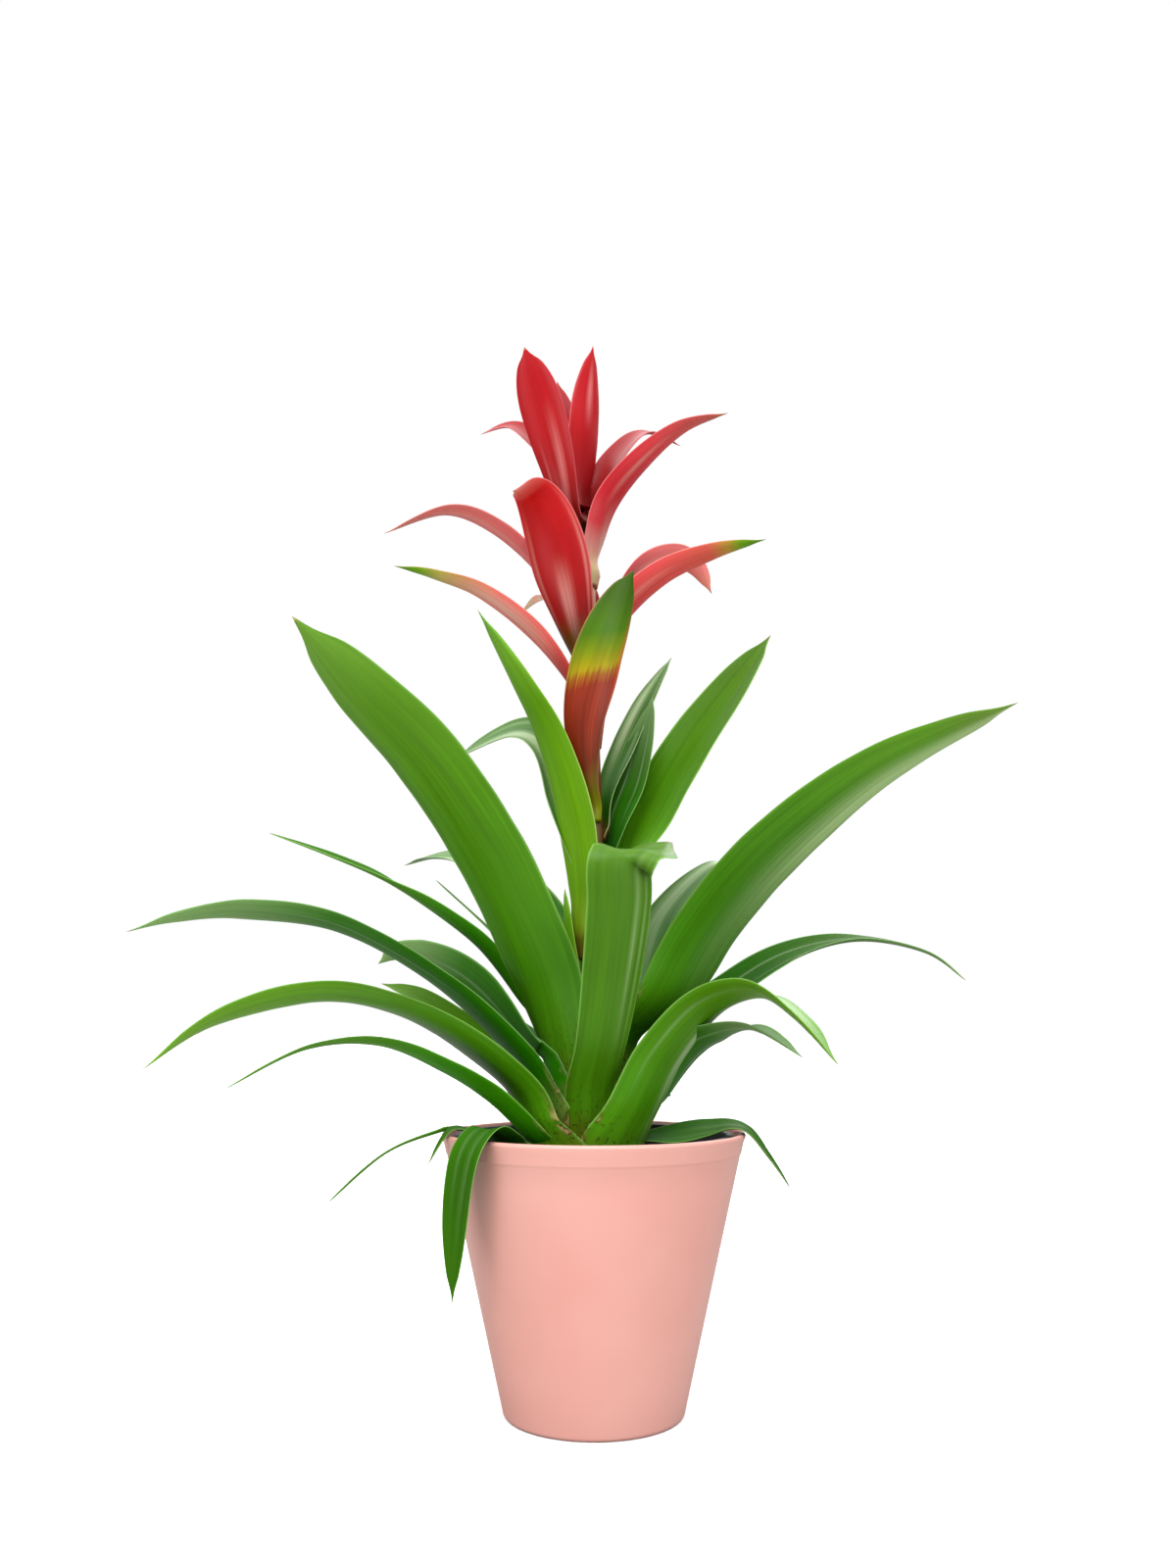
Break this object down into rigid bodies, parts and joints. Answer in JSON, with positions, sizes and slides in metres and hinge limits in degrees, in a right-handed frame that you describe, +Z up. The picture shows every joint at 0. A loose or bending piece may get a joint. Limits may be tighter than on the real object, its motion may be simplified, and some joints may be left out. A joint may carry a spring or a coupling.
{
  "type": "guzmania bromeliad in a pot",
  "caption": "Guzmania bromeliad with a rosette of arching strap leaves and an upright spike of red bracts, in a dark nursery pot inside a tapered pink cover pot.",
  "frame": {"origin": "centre of the cover pot's flat foot, on the surface that it stands on", "axes": "+Z up along the pot's axis, +X to the right and +Y away from the viewer of the picture"},
  "size_m": [0.3571, 0.2938, 0.5226],
  "materials": {
    "cover_pot": "satin",
    "nursery_pot": "satin",
    "substrate": "coarse, matte",
    "stem": "smooth, satin",
    "leaf": "smooth, glossy",
    "bract": "waxy, glossy"
  },
  "bodies": {
    "root": {"bract_back_lower": "bract", "bract_back_middle": "bract", "bract_back_upper": "bract", "bract_front_lower": "bract", "bract_front_upper": "bract", "bract_left_back_small": "bract", "bract_left_green_tip": "bract", "bract_left_lower": "bract", "bract_left_upper": "bract", "bract_right_back": "bract", "bract_right_drooping": "bract", "bract_right_green_tip": "bract", "bract_right_large": "bract", "bract_top_back": "bract", "bract_top_left": "bract", "bract_top_left_back": "bract", "bract_top_right": "bract", "cover_pot": "cover_pot", "leaf_back_left_droop": "leaf", "leaf_back_left_low": "leaf", "leaf_back_left_short": "leaf", "leaf_back_left_thin": "leaf", "leaf_back_left_upper": "leaf", "leaf_back_low": "leaf", "leaf_back_middle": "leaf", "leaf_back_right_glossy": "leaf", "leaf_back_right_low": "leaf", "leaf_back_upper": "leaf", "leaf_front_folded": "leaf", "leaf_front_right": "leaf", "leaf_inner_small": "leaf", "leaf_inner_yellow": "leaf", "leaf_left_bright_back": "leaf", "leaf_left_broad": "leaf", "leaf_left_edge_on": "leaf", "leaf_left_hanging": "leaf", "leaf_left_long_lower": "leaf", "leaf_left_long_upper": "leaf", "leaf_left_low": "leaf", "leaf_left_over_rim": "leaf", "leaf_left_short_tip": "leaf", "leaf_left_wide_back": "leaf", "leaf_right_arching": "leaf", "leaf_right_broad": "leaf", "leaf_right_low_inner": "leaf", "leaf_right_over_rim": "leaf", "leaf_right_upright": "leaf", "leaf_scape_right": "leaf", "leaf_upright_dark": "leaf", "nursery_pot": "nursery_pot", "stem": "stem", "substrate": "substrate"}
  },
  "joints": []
}
